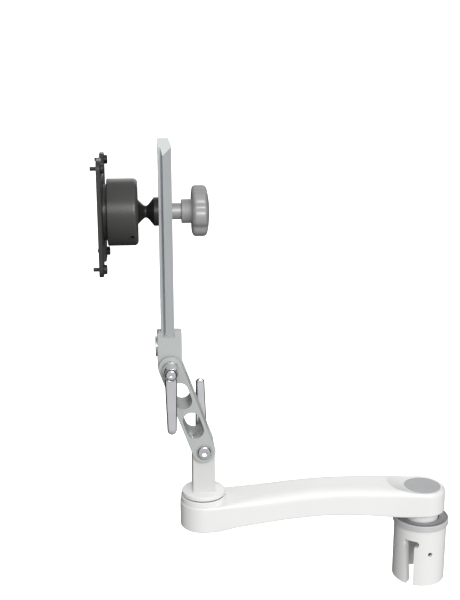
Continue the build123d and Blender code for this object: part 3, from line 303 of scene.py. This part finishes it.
MATERIALS = {
    "white_paint": enamel("white_enamel", (0.89, 0.89, 0.88), 0.30, 0.35, 700.0, 0.00006),
    "grey_paint": enamel("grey_enamel", (0.47, 0.50, 0.485), 0.42, 0.10, 1500.0, 0.00005, 0.03),
    "anodised": sawn_extrusion(),
    "chrome": cast_metal("bright_zinc", (0.74, 0.74, 0.77), 0.13, 1.0, 3000.0, 0.000004, 0.00008),
    "steel": cast_metal("zinc_plated_steel", (0.60, 0.60, 0.60), 0.28, 1.0, 2600.0, 0.000015),
    "black_steel": cast_metal("blackened_steel", (0.019, 0.019, 0.020), 0.36, 0.25, 2400.0, 0.00002),
    "dark_housing": enamel("anthracite_enamel", (0.047, 0.047, 0.045), 0.31, 0.10, 1600.0, 0.00004, 0.08),
    "black_plate": enamel("black_enamel", (0.022, 0.022, 0.021), 0.40, 0.05, 1800.0, 0.00005, 0.08),
    "satin_silver": cast_metal("satin_silver", (0.38, 0.385, 0.38), 0.46, 0.45, 2800.0, 0.00003),
    "grey_cap": moulded("grey_plastic", (0.47, 0.48, 0.485), 0.55),
    "grey_ring": index_ring_metal(),
    "nylon": moulded("natural_nylon", (0.72, 0.71, 0.67), 0.45),
    "black_nylon": moulded("black_nylon", (0.02, 0.02, 0.02), 0.5),
    "brass": drawn_metal("turned_brass", (0.72, 0.52, 0.24), 0.25, 1.0, (2400.0, 400.0, 400.0), 0.00001),
}


# nodes whose finish differs a little from the rest of their slot
NODE_MATERIALS = {
    # the set screws are a dark steel, far darker than the plated steel of their slot, and show as dark
    # spots in their holes
    "socket_set_screws": cast_metal("dark_set_screw_steel", (0.10, 0.10, 0.10), 0.35, 0.8, 2600.0, 0.000015),
    "post_body": enamel("post_enamel", (0.70, 0.70, 0.69), 0.38, 0.20, 700.0, 0.00006),
}


def dress_frame():
    """Give every CAD node the procedural material of its slot, or its own where it has one."""
    for entry in frame["record"]["subparts"]:
        piece = frame["nodes"][entry["node"]]
        material = NODE_MATERIALS.get(entry["node"], MATERIALS[entry["material_slot"]])
        piece.data.materials.clear()
        piece.data.materials.append(material)


# ---------------------------------------------------------------- pieces that stand for CAD nodes
def add_object(name, mesh, material, smooth=True):
    """Make an object from a bmesh, which is freed."""
    bmesh.ops.recalc_face_normals(mesh, faces=mesh.faces)
    data = bpy.data.meshes.new(name)
    mesh.to_mesh(data)
    mesh.free()
    data.polygons.foreach_set("use_smooth", [smooth] * len(data.polygons))
    data.materials.append(material)
    made = bpy.data.objects.new(name, data)
    bpy.context.scene.collection.objects.link(made)
    return made


def add_piece(name, mesh, slot, body, node):
    """Make an object that rides on its body and stands for its CAD node."""
    piece = add_object(name, mesh, MATERIALS[slot])
    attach(piece, body)
    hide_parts(node)
    return piece


def circle_turns(count):
    """Equal steps round a circle, in radians."""
    return [2 * math.pi * index / count for index in range(count)]


def add_ring(mesh, points):
    """Vertices of one closed ring."""
    return [mesh.verts.new(point) for point in points]


def join_rings(mesh, rings):
    """Faces between rings of vertices, each ring closed on itself."""
    for ring, following in zip(rings, rings[1:]):
        count = len(ring)
        for index in range(count):
            after = (index + 1) % count
            mesh.faces.new((ring[index], ring[after], following[after], following[index]))


# a lever's shape in metres, with distances out from the link's middle plane
HUB_PROFILE = (
    (0.0055, 0.0226), (0.0074, 0.0226), (0.0080, 0.0233), (0.0075, 0.0398), (0.0073, 0.0409),
    (0.0068, 0.0415), (0.0063, 0.0413), (0.0063, 0.0346), (0.0030, 0.0346), (0.0030, 0.0335),
    (0.0055, 0.0335),
)
ARM_ROOT_R = 0.0071                    # the arm starts inside the hub's wall
# reach along the arm, half width, half thickness, distance out
ARM_SECTIONS = (
    (0.0000, 0.0063, 0.0042, 0.0341), (0.0140, 0.0063, 0.0040, 0.0354),
    (0.0280, 0.0060, 0.0035, 0.0376), (0.0440, 0.0055, 0.0032, 0.0404),
    (0.0600, 0.0050, 0.0030, 0.0430),
)
ARM_EDGE_R = 0.0021
TIP_STEPS = 6
HUB_SEGMENTS = 48
CORNER_STEPS = 5
TIP_SWEEP = 84.0                       # degrees of the round tip that are built before it is closed
TIP_THINNING = 0.55                    # share of the thickness that the tip loses
VOXEL = 0.00042
SMOOTHING = 0.5
SMOOTHING_STEPS = 4


def middle_of(node):
    """Centre of a CAD node's box."""
    low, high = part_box(node)
    return Vector([(first + last) / 2 for first, last in zip(low, high)])


def rounded_ring(half_width, half_thick, edge):
    """Corners of a rounded rectangle, as offsets across the arm and out from the link."""
    edge = min(edge, half_width * 0.98, half_thick * 0.98)
    points = []
    for corner, (sign_x, sign_z) in enumerate(((1, 1), (-1, 1), (-1, -1), (1, -1))):
        for step in range(CORNER_STEPS + 1):
            turn = math.radians(90.0 * (corner + step / CORNER_STEPS))
            points.append((
                sign_x * (half_width - edge) + edge * math.cos(turn),
                sign_z * (half_thick - edge) + edge * math.sin(turn),
            ))
    return points


def make_lever(name, pivot, outward, along, body, node):
    """Cast lever: a recessed hub and a tapering round-ended arm, melted together and smoothed."""
    sideways = outward.cross(along)
    mesh = bmesh.new()

    def place(x, y, z):
        return pivot + sideways * x + along * y + outward * z

    turns = circle_turns(HUB_SEGMENTS)
    rings = [
        add_ring(mesh, [place(radius * math.cos(turn), radius * math.sin(turn), height) for turn in turns])
        for radius, height in HUB_PROFILE
    ]
    join_rings(mesh, rings + rings[:1])
    sections = list(ARM_SECTIONS)
    reach, half_width, half_thick, height = ARM_SECTIONS[-1]
    for step in range(1, TIP_STEPS + 1):
        turn = math.radians(TIP_SWEEP * step / TIP_STEPS)
        sections.append((
            reach + half_width * math.sin(turn),
            half_width * math.cos(turn),
            half_thick * (1 - TIP_THINNING + TIP_THINNING * math.cos(turn)),
            height,
        ))
    rings = []
    for index, (reach, half_width, half_thick, height) in enumerate(sections):
        points = []
        for x, z in rounded_ring(half_width, half_thick, ARM_EDGE_R):
            start = math.sqrt(ARM_ROOT_R**2 - x**2) if index == 0 else reach
            points.append(place(x, start, height + z))
        rings.append(add_ring(mesh, points))
    join_rings(mesh, rings)
    mesh.faces.new(rings[0])
    mesh.faces.new(rings[-1])
    lever = add_piece(name, mesh, "chrome", body, node)
    melt = lever.modifiers.new("melt", "REMESH")
    melt.mode = "VOXEL"
    melt.voxel_size = VOXEL
    melt.use_smooth_shade = True
    relax = lever.modifiers.new("relax", "SMOOTH")
    relax.factor = SMOOTHING
    relax.iterations = SMOOTHING_STEPS


KNOB_LOBES = 7
KNOB_LOBE_TURN = math.radians(9.6)     # a hollow's middle, from +Y towards +Z
KNOB_RIM_R = 0.0270
KNOB_HOLLOW = 0.0025
KNOB_HOLLOW_POWER = 3.0                # the larger, the narrower the hollows
KNOB_CORE_R = 0.0135                   # inside this the knob is round
KNOB_SEGMENTS = 224
KNOB_CREASE = math.radians(50.0)
# radius, and distance along the head's axis from the knob's inner end
KNOB_PROFILE = (
    (0.0000, 0.0245), (0.0065, 0.0245), (0.0065, 0.0000), (0.0120, 0.0000), (0.0125, 0.0003),
    (0.01265, 0.0008), (0.01265, 0.0098), (0.0130, 0.0104), (0.0138, 0.0107), (0.0180, 0.0107),
    (0.0225, 0.0108), (0.0240, 0.0110), (0.0253, 0.0116), (0.0263, 0.0126), (0.0269, 0.0140),
    (0.0270, 0.0155), (0.0270, 0.0185), (0.0270, 0.0215), (0.0269, 0.0232), (0.0263, 0.0247),
    (0.0253, 0.0257), (0.0240, 0.0264), (0.0210, 0.0272), (0.0160, 0.0281), (0.0110, 0.0287),
    (0.0098, 0.0288), (0.0095, 0.0286), (0.0095, 0.0269), (0.0000, 0.0269),
)


def make_knob():
    """Clamp knob with smooth lobes, on its CAD node's axis."""
    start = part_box("knob_body")[0][0]
    centre = middle_of("knob_insert").z
    mesh = bmesh.new()
    rings = []
    for radius, along in KNOB_PROFILE[1:-1]:
        reach = min(1.0, max(0.0, (radius - KNOB_CORE_R) / (KNOB_RIM_R - KNOB_CORE_R)))
        points = []
        for turn in circle_turns(KNOB_SEGMENTS):
            wave = (0.5 + 0.5 * math.cos(KNOB_LOBES * (turn - KNOB_LOBE_TURN))) ** KNOB_HOLLOW_POWER
            local = radius - reach * KNOB_HOLLOW * wave
            points.append((start + along, local * math.cos(turn), centre + local * math.sin(turn)))
        rings.append(add_ring(mesh, points))
    join_rings(mesh, rings)
    for ring, end in ((rings[0], KNOB_PROFILE[0]), (rings[-1], KNOB_PROFILE[-1])):
        hub = mesh.verts.new((start + end[1], 0.0, centre))
        for index in range(KNOB_SEGMENTS):
            mesh.faces.new((ring[index], ring[(index + 1) % KNOB_SEGMENTS], hub))
    knob = add_piece("knob_lobed_body", mesh, "satin_silver", "knob", "knob_body")
    creases = knob.modifiers.new("creases", "EDGE_SPLIT")
    creases.split_angle = KNOB_CREASE


def make_replacements():
    """Both levers, each on its pivot's axis in the link's middle plane, and the knob."""
    for side, way in (("front", -1), ("rear", 1)):
        pivot = middle_of(f"{side}_lever_insert")
        pivot.y = 0.0
        outward, along = Vector((0, way, 0)), Vector((0, 0, way))
        make_lever(f"{side}_lever_cast", pivot, outward, along, f"{side}_lever", f"{side}_lever_handle")
    make_knob()


# ---------------------------------------------------------------- stage and lights
FLOOR_Z = -0.45
STAGE_R = 5.0
STAGE_BEND_R = 2.5
STAGE_TOP_Z = 6.0
STAGE_SEGMENTS = 64
STAGE_HOLE_R = 0.5                     # the floor's middle is one face inside this
STAGE_BEND_STEPS = 12
STAGE_GLOW = 1.1

MIDDLE = (-0.2, 0.0, 0.25)
FLAG_REACH = 1.3
FLAG_CORNERS = ((-0.9, -0.4), (1.3, -0.4), (1.3, 1.6), (-0.9, 1.6))


def make_stage():
    """A pale floor that curves up into a wall all round; only the camera sees it."""
    profile = [(STAGE_HOLE_R, FLOOR_Z), (STAGE_R - STAGE_BEND_R, FLOOR_Z)]
    for step in range(1, STAGE_BEND_STEPS + 1):
        turn = math.radians(90.0 * step / STAGE_BEND_STEPS)
        profile.append((
            STAGE_R - STAGE_BEND_R + STAGE_BEND_R * math.sin(turn),
            FLOOR_Z + STAGE_BEND_R * (1 - math.cos(turn)),
        ))
    profile.append((STAGE_R, STAGE_TOP_Z))
    mesh = bmesh.new()
    turns = circle_turns(STAGE_SEGMENTS)
    rings = [
        add_ring(mesh, [(radius * math.cos(turn), radius * math.sin(turn), height) for turn in turns])
        for radius, height in profile
    ]
    join_rings(mesh, rings)
    mesh.faces.new(rings[0])
    graph = Graph("stage_paper")
    fibres = graph.noise(300.0, 3.0)
    graph.set(Emission_Color=(1.0, 1.0, 1.0, 1.0), Emission_Strength=STAGE_GLOW)
    paper = graph.finish(
        graph.blend(fibres, (0.93, 0.93, 0.93), (0.95, 0.95, 0.95)),
        graph.ranged(fibres, 0.85, 0.95),
        graph.bump(fibres, 0.00005),
    )
    stage = add_object("stage", mesh, paper)
    stage.visible_diffuse = False
    stage.visible_glossy = False
    stage.visible_shadow = False


def make_flags():
    """Black cards on both sides that only reflections see, so that bright metal gets dark edges."""
    graph = Graph("flag_cloth")
    weave = graph.noise(400.0, 3.0)
    graph.set(Specular_IOR_Level=0.0)
    cloth = graph.finish(
        graph.blend(weave, (0.010, 0.010, 0.010), (0.014, 0.014, 0.014)),
        graph.ranged(weave, 0.90, 0.98),
        graph.bump(weave, 0.0002),
    )
    for name, x in (("flag_left", MIDDLE[0] - FLAG_REACH), ("flag_right", MIDDLE[0] + FLAG_REACH)):
        mesh = bmesh.new()
        mesh.faces.new(add_ring(mesh, [(x, y, z) for y, z in FLAG_CORNERS]))
        flag = add_object(name, mesh, cloth, smooth=False)
        flag.visible_camera = False
        flag.visible_diffuse = False
        flag.visible_shadow = False


def add_light(name, place, side, power):
    """Square light that faces the arm's middle."""
    lamp = bpy.data.lights.new(name, "AREA")
    lamp.shape = "SQUARE"
    lamp.size = side
    lamp.energy = power
    light = bpy.data.objects.new(name, lamp)
    direction = Vector(MIDDLE) - Vector(place)
    light.location = place
    light.rotation_euler = direction.to_track_quat("-Z", "Y").to_euler()
    bpy.context.scene.collection.objects.link(light)


# name, place, length of a side, power in watts
LIGHTS = (
    ("key", (0.10, -1.70, 1.10), 0.7, 17.5),
    ("back", (-0.1, 1.60, 1.10), 1.5, 7.0),
)
SKY_DIRECTION = (0.30, -0.74, 0.60)    # the side that most of the soft light comes from
SKY_RANGE = (0.01, 0.83)               # its strength on the far side and on this one


def make_lights():
    """Two area lights, and a soft sky that is brighter on the camera's side."""
    for name, place, side, power in LIGHTS:
        add_light(name, place, side, power)
    world = bpy.data.worlds.new("studio")
    world.use_nodes = True
    nodes = world.node_tree.nodes
    links = world.node_tree.links
    place = nodes.new("ShaderNodeTexCoord")
    facing = nodes.new("ShaderNodeVectorMath")
    facing.operation = "DOT_PRODUCT"
    facing.inputs[1].default_value = SKY_DIRECTION
    spread = nodes.new("ShaderNodeMapRange")
    spread.inputs["From Min"].default_value = -1.0
    spread.inputs["From Max"].default_value = 1.0
    spread.inputs["To Min"].default_value = SKY_RANGE[0]
    spread.inputs["To Max"].default_value = SKY_RANGE[1]
    links.new(place.outputs["Generated"], facing.inputs[0])
    links.new(facing.outputs["Value"], spread.inputs["Value"])
    nodes["Background"].inputs["Color"].default_value = (1.0, 1.0, 1.0, 1.0)
    links.new(spread.outputs["Result"], nodes["Background"].inputs["Strength"])
    bpy.context.scene.world = world
    bpy.context.scene.view_settings.view_transform = "Standard"


make_camera()
dress_frame()
make_replacements()
make_stage()
make_flags()
make_lights()
